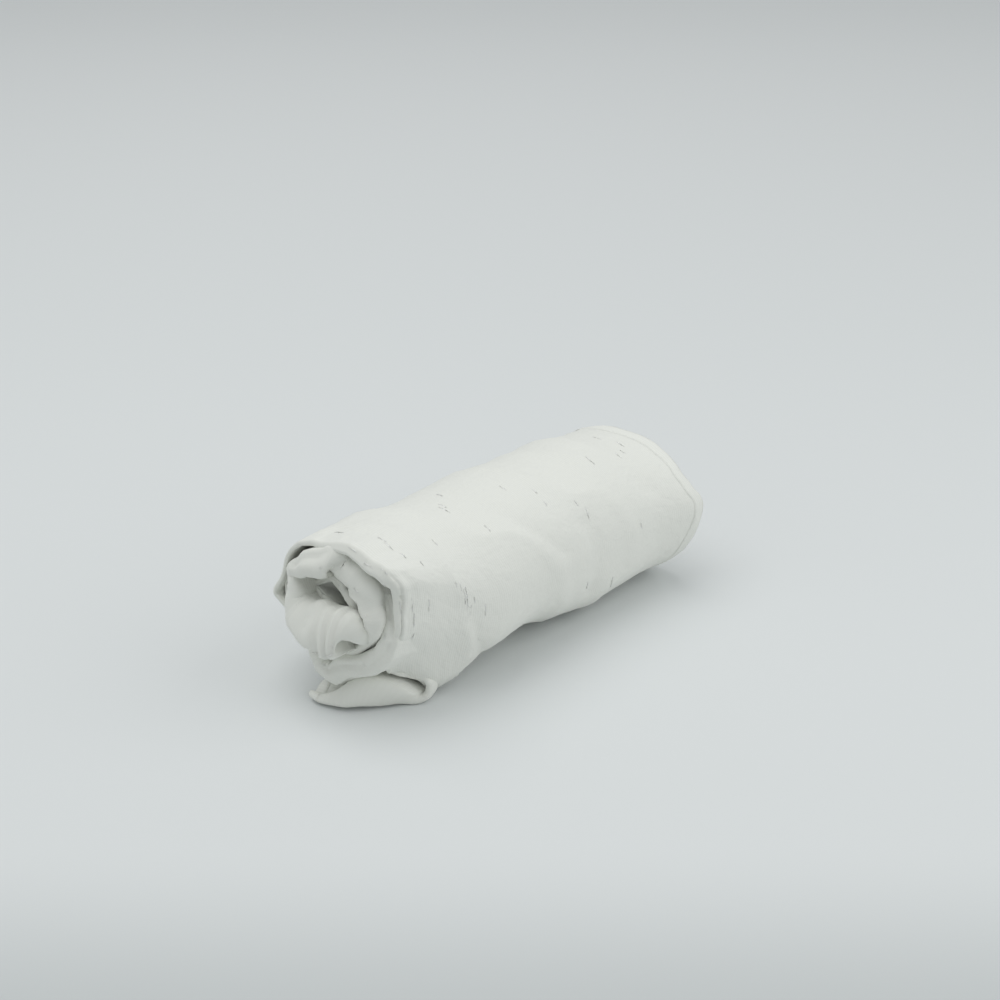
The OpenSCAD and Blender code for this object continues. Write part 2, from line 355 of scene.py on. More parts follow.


# Shape of the folded end. Each row of it is a place on the doubled cloth:
# turn, then in millimetres x, y and z of the middle of the fold, half its thickness and
# how far back this shape reaches before it is the even roll, and last how much the fold
# curls to the inner side.
foldedEnd = {
    "puffReach": 46 * mm,   # the fold is puffed open over this length
    "noseDepth": 0.95,      # how far the fold rounds out, as a share of half its thickness
    "shape": [
        # the corner on the floor
        (-0.100, -147, 18, 6.0, 4.8, 60, -0.2),
        (-0.085, -147, 11, 8.5, 6.5, 60, -0.4),
        (-0.065, -142, 0, 11.0, 8.5, 60, -0.5),
        (-0.045, -135, -11, 14.0, 11.5, 60, -0.5),
        (-0.025, -126, -22, 12.5, 10.5, 55, -0.5),
        (-0.008, -118, -30, 9.0, 7.5, 50, -0.5),
        (0.010, -109, -36, 4.8, 3.8, 50, -0.3),
        (0.026, -103, -38, 6.5, 2.4, 50, 0.0),
        (0.042, -102, -38, 13.5, 2.2, 45, 0.0),
        # the pocket beside it, where the cover leaves the floor
        (0.060, -110, -30, 17.0, 2.0, 35, 0.0),
        (0.078, -117, -27, 21.0, 2.0, 30, 0.0),
        (0.092, -121, -24, 24.0, 2.0, 30, 0.0),
        # cover, up the front, over the top and down the back
        (0.108, -127, -32, 35.0, 2.0, 40, 0.2),
        (0.135, -131, -41, 48.0, 2.2, 60, 0.4),
        (0.170, -134, -49, 62.0, 2.8, 78, 0.5),
        (0.215, -135, -52, 76.0, 3.2, 78, 0.6),
        (0.260, -134, -52, 88.0, 4.0, 78, 0.6),
        (0.305, -136, -52, 98.0, 4.5, 78, 0.6),
        (0.345, -139, -47, 105.0, 4.5, 78, 0.7),
        (0.390, -140, -36, 109.0, 4.2, 78, 0.7),
        (0.440, -139, -21, 112.0, 3.8, 78, 0.7),
        (0.490, -138, -4, 110.0, 3.2, 78, 0.5),
        (0.540, -138, 13, 106.0, 2.4, 78, 0.3),
        (0.590, -141, 26, 103.0, 1.8, 78, 0.0),
        (0.620, -142, 35, 96.0, 1.5, 70, 0.0),
        (0.660, -142, 41, 86.0, 1.5, 50, 0.0),
        (0.700, -142, 45, 73.0, 1.5, 42, 0.0),
        (0.740, -144, 49, 63.0, 1.5, 38, 0.0),
        (0.790, -142, 42, 56.0, 1.8, 42, 0.0),
        (0.840, -142, 31, 49.0, 2.5, 60, 0.0),
        (0.900, -141, 22, 41.0, 4.5, 70, 0.0),
        (0.950, -140, 16, 29.0, 7.0, 78, 0.2),
        # first turn of the band
        (1.000, -139, 3, 22.0, 9.0, 78, 0.3),
        (1.050, -138, -19, 34.0, 8.5, 78, 0.3),
        (1.100, -137, -35, 45.0, 7.0, 78, 0.4),
        (1.150, -136, -42, 58.0, 5.5, 78, 0.5),
        (1.220, -134, -41, 71.0, 4.5, 78, 0.5),
        (1.290, -132, -37, 81.0, 4.0, 78, 0.5),
        (1.350, -130, -27, 87.0, 3.0, 78, 0.5),
        (1.420, -128, -11, 91.0, 2.0, 78, 0.0),
        (1.500, -128, 11, 91.0, 2.0, 78, 0.0),
        (1.580, -130, 31, 88.0, 2.0, 78, 0.0),
        (1.660, -134, 41, 80.0, 2.5, 78, 0.0),
        (1.750, -136, 46, 67.0, 3.0, 78, 0.0),
        (1.840, -138, 38, 57.0, 4.0, 78, 0.0),
        (1.920, -138, 27, 45.0, 4.0, 78, 0.0),
        (2.000, -138, 6, 39.0, 4.0, 78, 0.0),
        # second turn, one fat lobe beside the hollow and one above it
        (2.060, -139, -13, 42.0, 3.0, 60, 0.0),
        (2.110, -140, -27, 53.0, 3.0, 50, 0.3),
        (2.160, -140, -35, 69.0, 6.5, 60, 0.6),
        (2.220, -136, -31, 80.0, 9.0, 70, 0.7),
        (2.290, -134, -24, 88.0, 10.5, 78, 0.7),
        (2.345, -133, -15, 93.0, 10.5, 78, 0.7),
        (2.395, -133, -6, 94.0, 9.0, 78, 0.6),
        (2.440, -138, -2, 98.0, 9.0, 78, 0.7),
        (2.500, -141, 8, 96.0, 8.5, 78, 0.7),
        (2.570, -143, 20, 91.0, 7.5, 78, 0.6),
        (2.640, -142, 34, 81.0, 5.0, 70, 0.4),
        (2.720, -143, 31, 74.0, 6.5, 60, 0.2),
        # the tongue
        (2.800, -144, 29, 64.0, 9.0, 60, -0.3),
        (2.870, -147, 16, 57.0, 12.5, 60, -0.5),
        (2.940, -149, 0, 58.0, 15.0, 60, -0.6),
        (3.000, -149, -13, 60.0, 15.0, 60, -0.6),
        (3.050, -147, -21, 60.0, 13.0, 60, -0.5),
        (3.090, -142, -21, 58.0, 8.0, 60, -0.3),
        # up beside the hollow, and the inner end of the cloth hanging into it
        (3.130, -137, -15, 66.0, 3.5, 60, 0.2),
        (3.190, -137, -11, 74.0, 3.0, 60, 0.4),
        (3.260, -136, -5, 80.0, 2.5, 50, 0.4),
        (3.320, -134, 2, 85.0, 2.5, 50, 0.0),
        (3.390, -131, 17, 82.0, 2.5, 50, 0.0),
        (3.450, -132, 25, 75.0, 2.0, 40, 0.0),
        (3.500, -136, 16, 71.0, 1.8, 40, 0.0),
        (3.550, -138, 3, 70.0, 1.8, 40, 0.0),
    ],
}
shape = np.array(foldedEnd["shape"])
shape[:, 1:6] *= mm


def foldedShape(k, column):
    return throughPoints(k, shape[:, 0], shape[:, column])


def halfThick(k):
    # doubled cloth on the floor and in the cover, thick band inside
    opened = ease((k - cloth["bandFrom"]) / cloth["bandOver"])
    return mix(cloth["cover"] / 2 * cloth["coverShare"], cloth["band"] / 2, opened)


def evenRoll(k, x):
    y, z = wound(np.maximum(k, coverStart))
    along = np.clip((coverStart - k) / (coverStart - floorStart), 0, 1)
    last = np.minimum(endEdge(x), hingeY - 2 * mm)
    onFloor = k < coverStart
    return (np.where(onFloor, mix(-flatHalf, last, along), y),
            np.where(onFloor, cloth["cover"] / 2, z))


# slow bends of the whole roll: a place along x, a place in the turn, and their reaches
slowBends = {
    "waist": {"x": -30 * mm, "reach": 40 * mm, "turn": 0.10, "turnReach": 0.09,
              "in": 13 * mm, "up": 2 * mm},
    "flare": {"x": 95 * mm, "reach": 45 * mm, "turn": 0.27, "turnReach": 0.08,
              "out": 4 * mm},
    "slump": {"x": 40 * mm, "reach": 100 * mm, "above": 0.3, "down": 12 * mm},
    "mouth": {"x": -106 * mm, "reach": 24 * mm, "turn": 3.12, "turnReach": 0.2,
              "down": 14 * mm},      # where the inner end hangs into the hollow
    "fade": 1.6,                     # turns over which they die away inwards
    "start": 0.04,                   # and over which they begin, off the floor
}


def middleOfCloth(k, x, nose):
    # where the middle of the doubled cloth lies, with the slow bends of the whole roll
    fade = 1 - ease((x - nose) / foldedShape(k, 5))
    evenY, evenZ = evenRoll(k, x)
    y = mix(evenY, foldedShape(k, 2) + 0 * x, fade)
    z = mix(evenZ, foldedShape(k, 3) + 0 * x, fade)
    turn = k % 1.0
    depth = np.exp(-np.floor(np.maximum(k, 0)) / slowBends["fade"])
    waist, flare = slowBends["waist"], slowBends["flare"]
    slump, mouth = slowBends["slump"], slowBends["mouth"]
    narrow = hump(x, waist["x"], waist["reach"]) * hump(turn, waist["turn"], waist["turnReach"])
    spread = ease((x - flare["x"]) / flare["reach"]) * hump(turn, flare["turn"], flare["turnReach"])
    high = ease((z / roll["height"] - slump["above"]) / (1 - slump["above"]))
    sunk = ease((x - slump["x"]) / slump["reach"]) * high
    hung = hump(x, mouth["x"], mouth["reach"]) * ease((k - mouth["turn"]) / mouth["turnReach"])
    on = ease((k - coverStart) / slowBends["start"])
    y = y + (waist["in"] * narrow - flare["out"] * spread) * depth * on
    z = z + (waist["up"] * narrow * depth - slump["down"] * sunk - mouth["down"] * hung) * on
    return y, z


# how the hemmed edge of the cloth strays from true along x
edgeDrift = {
    "all": -2 * mm,
    "waves": [(1.8 * mm, 0.07, 3.0, 41), (1.0 * mm, 0.021, 7.0, 42)],   # size, turns, row, seed
    "humps": [(3 * mm, 0.285, 0.035), (-6 * mm, 0.12, 0.07)],           # size, turn, reach
}


def farEdge(k):
    drift = edgeDrift["all"]
    for size, turns, row, seed in edgeDrift["waves"]:
        drift = drift + size * softNoise(k / turns, row, seed)
    for size, turn, reach in edgeDrift["humps"]:
        drift = drift + size * hump(k, turn, reach)
    return drift


# Lines pressed into the cloth: from turn and distance across, to turn and distance
# across, depth and width, in millimetres. Across counts from the fold, less than nothing
# on the outer side.
pressed = {
    "round": 10 * mm,       # how much of across is spent going round the fold
    "turnLength": roll["width"] * 2.85,     # cloth in one turn of the cover
    "sharpness": 1.4,       # 2 would be a soft bell across the line
    "lines": [
        # scoop in the corner on the floor
        (-0.092, 9, -0.062, 13, 13.0, 7.0),
        # pleats of the tongue
        (2.950, -14, 2.965, 14, 2.4, 1.7),
        (2.995, -15, 2.990, 14, 3.2, 1.6),
        (3.030, -14, 3.022, 12, 2.6, 1.6),
        (2.860, -10, 2.930, -5, 2.2, 2.2),
        (2.900, 4, 2.960, 8, 1.8, 2.0),
        # between the two lobes, and along each of them
        (2.425, -12, 2.412, 12, 3.0, 2.6),
        (2.150, -13, 2.360, -9, 3.0, 1.8),
        (2.170, 6, 2.330, 8, 2.8, 1.7),
        (2.200, -4, 2.360, 2, 1.8, 1.5),
        (2.460, -7, 2.600, -5, 2.2, 1.7),
        # down the front beside the fold
        (0.345, -9, 0.270, -7, 1.6, 1.6),
        (0.270, -7, 0.150, -8, 1.8, 1.5),
        (0.330, -17, 0.180, -14, 1.1, 2.2),
        (1.120, -7, 1.310, -6, 1.4, 1.6),
        (0.980, -8, 1.080, -10, 2.4, 1.8),
        (0.990, 2, 1.070, -1, 2.2, 1.5),
        (1.060, -3, 1.150, -5, 1.8, 1.6),
        # ridges, which stand up instead
        (2.140, -6, 2.400, -4, -1.8, 2.6),
        (2.450, -2, 2.620, -3, -1.6, 2.4),
        (2.830, -3, 2.940, 3, -1.5, 3.0),
        (0.340, -2, 0.500, -1, -0.9, 2.0),
        # soft facets of the body
        (0.330, -182, 0.190, -180, 2.2, 5.0),
        (0.430, -120, 0.300, -150, 1.4, 6.0),
        (0.250, -60, 0.140, -85, 1.5, 5.0),
        (0.470, -230, 0.350, -250, 1.4, 6.0),
    ],
}


def pressedIn(k, across):
    u = k * pressed["turnLength"]
    deep = 0 * (u + across)
    for k0, a0, k1, a1, depth, width in pressed["lines"]:
        u0, v0 = k0 * pressed["turnLength"], a0 * mm
        du, dv = (k1 - k0) * pressed["turnLength"], (a1 - a0) * mm
        t = np.clip(((u - u0) * du + (across - v0) * dv) / (du * du + dv * dv), 0, 1)
        away = np.hypot(u - u0 - t * du, across - v0 - t * dv)
        deep = deep + depth * mm * np.exp(-(away / (width * mm)) ** pressed["sharpness"])
    return deep


# relief of the cloth: height, size of a cell along the roll and round it, and seed
relief = {
    "dents": (2.6 * mm, 48 * mm, 85 * mm, 11),     # hollows where hands have pressed
    "bands": (0.6 * mm, 17 * mm, 70 * mm, 12),     # soft folds that run round the roll
    "creases": (1.9 * mm, 42 * mm, 75 * mm, 15),   # sharper lines that wander between them
    "creaseLean": (0.35, -0.15),
    "creaseSharpness": 5.5,
    "creaseLevel": 0.3,                            # how far the cloth sinks between them
    "crinkles": (0.2 * mm, 6.5 * mm, 16 * mm, 13),
    "wrinkles": (0.55 * mm, 6 * mm, 7 * mm, 16),   # only close to the fold
    "wrinkleReach": 20 * mm,
    "pleats": (1.3 * mm, 30 * mm, 11 * mm, 14),    # gathers that fan out from the fold
    "pleatReach": 22 * mm,
    "pleatThick": 6 * mm,                          # half thickness of fold that has them full
    "turnRun": 0.30,                               # metres of cloth to a turn, near enough
    "onFloor": 0.15,                               # share of the relief on the floor
    "inside": 0.25,                                # and inside the cover
}


def unevenness(name, x, run):
    height, alongCell, roundCell, seed = relief[name]
    return height * softNoise(x / alongCell, run / roundCell, seed)


def liftOf(k, x, nose, thick):
    # how far the cloth stands off its even shape
    run = k * relief["turnRun"]
    height, alongCell, roundCell, seed = relief["creases"]
    leanX, leanRun = relief["creaseLean"]
    wander = softNoise((x + leanX * run) / alongCell, (run + leanRun * x) / roundCell, seed)
    crease = np.exp(-np.abs(wander) * relief["creaseSharpness"]) - relief["creaseLevel"]
    bend = unevenness("dents", x, run) + unevenness("bands", x, run) + height * crease
    offFloor = mix(relief["onFloor"], 1, ease((k - coverStart) / 0.05))
    lift = bend * offFloor + unevenness("crinkles", x, run)
    lift = lift * mix(1, relief["inside"], ease((k - 0.95) / 0.1))
    lift = lift + unevenness("wrinkles", x, run) * np.exp(-(x - nose) / relief["wrinkleReach"])
    height, alongCell, roundCell, seed = relief["pleats"]
    gather = 1 - 2 * np.abs(softNoise(run / roundCell, x / alongCell, seed))
    gather = gather * np.exp(-(x - nose) / relief["pleatReach"])
    return lift + height * gather * np.clip(thick / relief["pleatThick"], 0.15, 1.2)


def onCloth(k, share, x, angle):
    # point on the cloth: k turns in, on the ply at that share of the thickness,
    # angle 0 on the fold and a quarter turn to either side of it
    nose = foldedShape(k, 1)
    thick = foldedShape(k, 4)
    puff = 1 - ease((x - nose) / foldedEnd["puffReach"])
    half = mix(halfThick(k), thick, puff)
    y, z = middleOfCloth(k, x, nose)
    step = 0.002
    yA, zA = middleOfCloth(k - step, x, nose)
    yB, zB = middleOfCloth(k + step, x, nose)
    length = np.hypot(yB - yA, zB - zA) + 1e-9
    outY, outZ = -(zB - zA) / length, (yB - yA) / length

    beside = np.sign(angle) * np.maximum(x - nose, 0)
    deep = pressedIn(k, angle / (math.pi / 2) * pressed["round"] + beside) * share
    curl = foldedShape(k, 6) * np.cos(angle) ** 2
    out = half * share * (-np.sin(angle) - curl) + liftOf(k, x, nose, thick) + deep * np.sin(angle)
    x = x - (foldedEnd["noseDepth"] * thick * share - deep) * np.cos(angle)
    z = np.maximum(z + out * outZ, cloth["clear"])
    return np.stack(np.broadcast_arrays(x, y + out * outY, z), axis=-1)


# rows and columns of the cloth

weaveGrid = {
    "rows": 2.0 * mm,
    "hiddenRows": 11 * mm,
    "floorRows": 22,
    "foldColumns": 17,
    "sideColumns": 64,
    "crowding": 1.8,         # columns stand closer together near the fold
    "strandStep": 0.004,     # turns by which each ply stops short of the one before
    "bendPast": 0.006,       # and by which the bend between two plies runs past them
}


def turnsAt(first, last, step):
    # turns from first to last, a cloth step apart
    fine = np.linspace(first, last, 1500)
    run = lengthAlong(np.stack(wound(fine), axis=-1))
    count = max(2, int(round(run[-1] / step)))
    return np.interp(np.linspace(0, run[-1], count + 1), run, fine)


def clothRows():
    # one continuous cloth: floor, cover, then back and forth in the band
    floorRows = np.linspace(floorStart, coverStart, weaveGrid["floorRows"])[:-1]
    turns = [np.concatenate([floorRows, turnsAt(coverStart, bandEnd, weaveGrid["rows"])])]
    share = [np.ones(len(turns[0]))]
    for strand in range(1, cloth["strands"]):
        way = turnsAt(1.0, bandEnd - weaveGrid["strandStep"] * strand, weaveGrid["hiddenRows"])
        if strand % 2:
            way = way[::-1]
        level = 1 - strand / cloth["strands"]
        bend = (share[-1][-1] + level) / 2
        past = turns[-1][-1] + weaveGrid["bendPast"] * (1 if strand % 2 else -1)
        turns.append(np.concatenate([[past], way]))
        share.append(np.concatenate([[bend], np.full(len(way), level)]))
    return np.concatenate(turns)[:, None], np.concatenate(share)[:, None]


def columnPlan():
    # angle round the fold, then steps to the hems on both sides of it
    angles = np.linspace(-90, 90, weaveGrid["foldColumns"]) * math.pi / 180
    along = np.linspace(0, 1, weaveGrid["sideColumns"] + 1)[1:]
    along = (along + along ** weaveGrid["crowding"]) / 2
    spans = np.concatenate([along[::-1], np.zeros(len(angles)), along])
    quarter = np.full(len(along), math.pi / 2)
    return spans[None, :], np.concatenate([-quarter, angles, quarter])[None, :]


rowTurns, rowShare = clothRows()
spans, foldAngle = columnPlan()
foldX = foldedShape(rowTurns, 1)
clothX = mix(foldX, roll["hem"] + cloth["underHem"] + farEdge(rowTurns), spans)
wrapPoints = onCloth(rowTurns, rowShare, clothX, foldAngle)
rowRun = lengthAlong(wrapPoints[:, 0])
acrossCloth = spans * np.sign(foldAngle) * cloth["width"] / 2
wrapUvs = np.stack(np.broadcast_arrays(acrossCloth, rowRun[:, None]), axis=-1)
wrapCloth = meshObject("wrap_cloth", wrapPoints, gridFaces(*wrapPoints.shape[:2]), clothFinish,
                       wrapUvs)
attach(wrapCloth, "roll")
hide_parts("outer_turn", "inner_turn", "core_fold", "cover_turn", "floor_run")
print("wrap cloth:", wrapPoints.shape, "length", round(rowRun[-1], 3),
      "area", round(sum(p.area for p in wrapCloth.data.polygons), 3))


# hems: the cloth turned over twice, a little thicker than its neighbours

hem = {
    "width": roll["far"] - roll["hem"],
    "half": 0.3 * mm,
    "halfInside": 0.3 * mm,     # where the plies are packed in the band
    "columns": 6,
    "stepIn": 0.45,             # how thin the pressed edge is, as a share of the hem
    "rough": 0.5 * mm,
    "roughCells": (9, 7),       # in a turn, and through the band
    "seed": 21,
    "tuckInside": 2.0 * mm,     # how far the plies inside stop short of the outer one
    "tuckTurns": 0.8 * mm,      # and the turns inside short of the cover
    "endShare": 0.7,            # thickness of the end strips beside the rails
    "endRows": 5,
    "innerTurns": (-0.05, 0.002),       # from the inner end of the cloth
    "cornerTurns": (-0.001, 0.018),     # from its end on the floor
    "cornerShare": 0.2,         # how much of the width that strip keeps, from the fold
}


def thickSheet(name, points, normals, half, material):
    # closed thin slab round a grid of points, thinner along its edges
    rows, columns = points.shape[:2]
    edge = np.ones((rows, columns))
    edge[[0, -1], :] = hem["stepIn"]
    edge[:, [0, -1]] = hem["stepIn"]
    reach = (half * edge)[..., None]
    verts = np.concatenate([(points + normals * reach).reshape(-1, 3),
                            (points - normals * reach).reshape(-1, 3)])
    verts[:, 2] = np.maximum(verts[:, 2], 0)
    under = rows * columns
    top = gridFaces(rows, columns)
    index = np.arange(under).reshape(rows, columns)
    rim = np.concatenate([index[0, :], index[1:, -1], index[-1, -2::-1], index[-2:0:-1, 0]])
    ahead = np.roll(rim, -1)
    sides = np.stack([rim, rim + under, ahead + under, ahead], axis=-1)
    wide, along = lengthAlong(points[0]), lengthAlong(points[:, 0])
    flat = np.stack(np.broadcast_arrays(wide[None, :], along[:, None]), axis=-1)
    return meshObject(name, verts, np.concatenate([top, top[:, ::-1] + under, sides]), material,
                      np.concatenate([flat.reshape(-1, 2)] * 2))


def railHem(name, side, nodes):
    # runs the whole length of the cloth, on the outer or the inner ply
    x = np.linspace(roll["hem"], roll["far"], hem["columns"])[None, :]
    cells, cellsDeep = hem["roughCells"]
    rough = hem["rough"] * softNoise(rowTurns * cells, rowShare * cellsDeep, hem["seed"] + side)
    tuck = (1 - rowShare) * hem["tuckInside"]
    tuck = tuck + np.where(rowTurns > 1, hem["tuckTurns"], 0) * rowShare
    points = onCloth(rowTurns, rowShare, x + rough + farEdge(rowTurns) - tuck, side * math.pi / 2)
    half = mix(hem["halfInside"], hem["half"], rowShare > 0.99)
    made = thickSheet(name, points, gridNormals(points), half, hemFinish)
    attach(made, "roll")
    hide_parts(*nodes)
    return made


leftRail = railHem("left_rail_hem", -1, ["cover_left_rail_hem", "outer_left_rail_hem",
                                         "inner_left_rail_hem"])
rightRail = railHem("right_rail_hem", 1, ["cover_right_rail_hem", "outer_right_rail_hem",
                                          "inner_right_rail_hem"])


def endHem(name, k, x, angle, node):
    points = onCloth(k, np.ones_like(k), x, angle)
    half = hem["half"] * hem["endShare"]
    made = thickSheet(name, points, gridNormals(points), half, hemFinish)
    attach(made, "roll")
    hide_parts(node)
    return made


endTurns = bandEnd + np.linspace(*hem["innerTurns"], hem["endRows"])[:, None]
innerEnd = endHem("inner_hem_strip", endTurns, mix(foldedShape(endTurns, 1), roll["hem"], spans),
                  foldAngle, "inner_end_hem")
cornerTurns = floorStart + np.linspace(*hem["cornerTurns"], hem["endRows"])[:, None]
cornerColumns = np.abs(spans[0]) < hem["cornerShare"]
cornerEnd = endHem("corner_hem_strip", cornerTurns,
                   mix(foldedShape(cornerTurns, 1), roll["hem"], spans[:, cornerColumns]),
                   foldAngle[:, cornerColumns], "corner_end_hem")
print("hems on the roll ready")


# the tail: the end of the doubled cloth, lying out behind the roll

tail = {
    "start": 19 * mm,        # tucked inside the doubled cloth under the roll
    "pastHinge": 1 * mm,     # its narrow end is this far behind the hinge
    "flat": (0.227, 0.062),
    "area": 0.0080,
    "rows": 18,
    "columns": 72,
    "half": 0.75 * mm,
    "middle": 1 * mm,        # height of its middle where it lies flat
    "riseOver": 24 * mm,     # behind the hinge, before the ripples are full
    "ripples": [(1.0, 38 * mm, 50 * mm, 31), (0.35, 11 * mm, 20 * mm, 32)],
    "ripple": 1.6 * mm,
    "lowest": -0.1,          # as a share of a ripple
    "edgeLift": 1.2 * mm,
    "edgeReach": 7 * mm,
    "underHem": 1.5 * mm,
    "hemRows": 6,
    "hemExtra": 0.35 * mm,   # how much thicker its hem is, to each side
    "hemGap": 4 * mm,        # from its tucked edge to the hem strip
    "railRows": 16,
    "railGap": 2 * mm,       # and to the rail strips
    "railHalf": 0.4 * mm,
    "railAbove": 0.42 * mm,  # each rail strip is on its own face
    "bendFrom": (0, 0.020, 0.001),
    "bendTo": (0, 0.034, 0.001),
}
tailNear = floorLow.x + (hingeY + tail["pastHinge"] - endEdge(floorLow.x)) / endSlope


def onTail(x, y):
    # height of the middle of the doubled cloth where it lies on the floor
    out = ease((y - hingeY) / tail["riseOver"])
    wave = sum(size * softNoise(x / alongCell, y / acrossCell, seed)
               for size, alongCell, acrossCell, seed in tail["ripples"])
    rim = tail["edgeLift"] * hump(endEdge(x) - y, 0, tail["edgeReach"])
    z = tail["middle"] + out * (tail["ripple"] * np.maximum(wave, tail["lowest"]) + rim)
    return np.stack(np.broadcast_arrays(x, y, z), axis=-1)


def tailSheet(name, x, y, above, half, material, node):
    points = onTail(x, y)
    normals = gridNormals(points)
    normals = normals * np.sign(normals[..., 2:3])
    made = thickSheet(name, points + normals * above, normals, half, material)
    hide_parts(node)
    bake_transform(made)
    return made


tailX = np.linspace(tailNear, roll["hem"] + cloth["underHem"], tail["columns"])[None, :]
tailShare = np.linspace(0, 1, tail["rows"])[:, None]
tailY = mix(tail["start"], endEdge(tailX) - tail["underHem"], tailShare)
tailCloth = tailSheet("tail_cloth", tailX, tailY, 0, tail["half"], clothFinish,
                      "tail_flap")
hemX = np.linspace(tailNear, roll["far"], tail["columns"])[None, :]
hemBack = np.maximum(endEdge(hemX) - hem["width"], tail["start"] + tail["hemGap"])
hemY = mix(hemBack, endEdge(hemX), np.linspace(0, 1, tail["hemRows"])[:, None])
tailEnd = tailSheet("tail_hem_strip", hemX, hemY, 0, tail["half"] + tail["hemExtra"], hemFinish,
                    "tail_end_hem")
railX = np.linspace(roll["hem"], roll["far"], hem["columns"])[None, :]
railShare = np.linspace(0, 1, tail["railRows"])[:, None]
railY = mix(tail["start"] + tail["railGap"], endEdge(railX) - hem["width"], railShare)
tailRails = [tailSheet("tail_left_strip", railX, railY, -tail["railAbove"], tail["railHalf"],
                       hemFinish, "tail_left_rail_hem"),
             tailSheet("tail_right_strip", railX, railY, tail["railAbove"], tail["railHalf"],
                       hemFinish, "tail_right_rail_hem")]
print("tail ready")


# sewing thread and metallic yarn

sewing = {
    "length": 3.4 * mm,
    "pitch": 5 * mm,
    "radius": 0.2 * mm,
    "wide": 1.8,             # width and height of the pressed thread, in radii
    "high": 1.5,
    "sunk": 0.75,            # how far the ends of a stitch sink in, in radii
    "inset": 2 * mm,         # from the inner edge of the hem
    "sides": 6,
    "rings": 7,
    "fromTurn": 0.03,        # after the cover leaves the floor
    "toTurn": 0.96,
    "drift": 0.25 * mm,
    "driftRate": 900,
    "feel": 0.3 * mm,        # to each side, for the slope of the cloth
    "tailFrom": 26 * mm,     # from the narrow end of the tail
    "tailTo": 4 * mm,        # and from its wide end
}
floats = {
    "count": 18,
    "shortest": 4 * mm,
    "longest": 11 * mm,
    "width": 0.75 * mm,
    "thickness": 0.1 * mm,
    "above": 0.18 * mm,
    "sides": 4,
    "rings": 36,
    "fromTurn": 0.05,        # those strewn by chance start within these turns
    "overTurns": 0.72,
    "fromEnds": 8 * mm,
    "feel": 0.4 * mm,        # to each side, for the slope of the cloth
    "rollEvery": (3.0, 5.0),
    "rollBy": 1.3,
    "onTail": 5,
    "tailShare": 0.8,        # of the way from the hinge to the hem
    "tailGap": 3 * mm,       # behind the hinge
    "tailClear": 2 * mm,     # in front of the hem
    "tailSway": 0.3 * mm,
    "tailSwayRate": 500,
    "tailRolls": 12,
    # on the body: turn, x and length in mm
    "onBody": [(0.240, -86, 24), (0.290, -90, 9), (0.262, -88, 13), (0.245, -83, 7),
               (0.300, -93, 5), (0.270, -80, 5), (0.225, -128, 9), (0.190, -127, 12),
               (0.160, -125, 6), (0.255, -129, 7), (0.392, -45, 6), (0.479, -51, 7),
               (0.457, -5, 6), (0.392, 10, 4), (0.367, 33, 4), (0.457, 115, 7),
               (0.440, 108, 5), (0.271, 82, 5), (0.430, -120, 8), (0.405, -122, 9),
               (0.375, -120, 7), (0.350, -112, 5)],
    # on the folded end: turn, angle round the fold, length along the fold in mm
    "onFold": [(2.955, -20, 9), (3.012, -8, 8), (3.03, 12, 7), (2.30, -25, 7), (2.19, -20, 6),
               (2.26, 10, 8), (1.17, -15, 8), (1.27, -10, 7), (0.40, -40, 9), (0.45, -55, 7),
               (0.36, -60, 6), (0.33, 5, 6), (0.24, -50, 12), (0.19, -60, 10),
               (3.52, -60, 9), (2.47, -20, 5), (0.93, 20, 6), (0.98, 30, 7)],
}


def threads(name, lines, ups, width, height, sides, twist, material):
    # one strand along each line of points, its ends running into the cloth
    verts, faces = [], []
    for line, up, turned in zip(lines, ups, twist):
        along = unit(np.gradient(line, axis=0))
        across = unit(np.cross(along, up))
        lifted = unit(np.cross(across, along))
        share = np.linspace(0, 1, len(line))
        full = np.clip(np.sin(math.pi * share) * 4, 0.25, 1)[:, None, None]   # thin at its ends
        way = np.linspace(0, 2 * math.pi, sides, endpoint=False)[None, :, None]
        a = np.cos(turned)[:, None, None]
        b = np.sin(turned)[:, None, None]
        u = np.cos(way) * width / 2 * full
        v = np.sin(way) * height / 2 * full
        ring = (line[:, None, :] + (u * a - v * b) * across[:, None, :]
                + (u * b + v * a) * lifted[:, None, :])
        first = sum(len(part) for part in verts)
        verts.append(ring.reshape(-1, 3))
        faces.append(gridFaces(len(line), sides, first, wrap=True))
    return meshObject(name, np.concatenate(verts), np.concatenate(faces), material)


def faceLine(k, x, angle, feel, middleX):
    # the line x, angle on the outer ply with its normals, pointing away from the middle
    patch = onCloth(k, 1.0, x + feel[0], angle + feel[1])
    normal = gridNormals(patch)[:, 1]
    outward = patch[:, 1] - onCloth(k, 0.0, np.array([[middleX]]), angle)[:, 0]
    return patch[:, 1], normal * np.sign(np.sum(normal * outward, axis=-1, keepdims=True))


def stitchBow():
    # height of a stitch over the cloth, its ends pulled in
    bow = np.sin(math.pi * np.linspace(0, 1, sewing["rings"]))
    return (bow - sewing["sunk"]) * sewing["radius"]


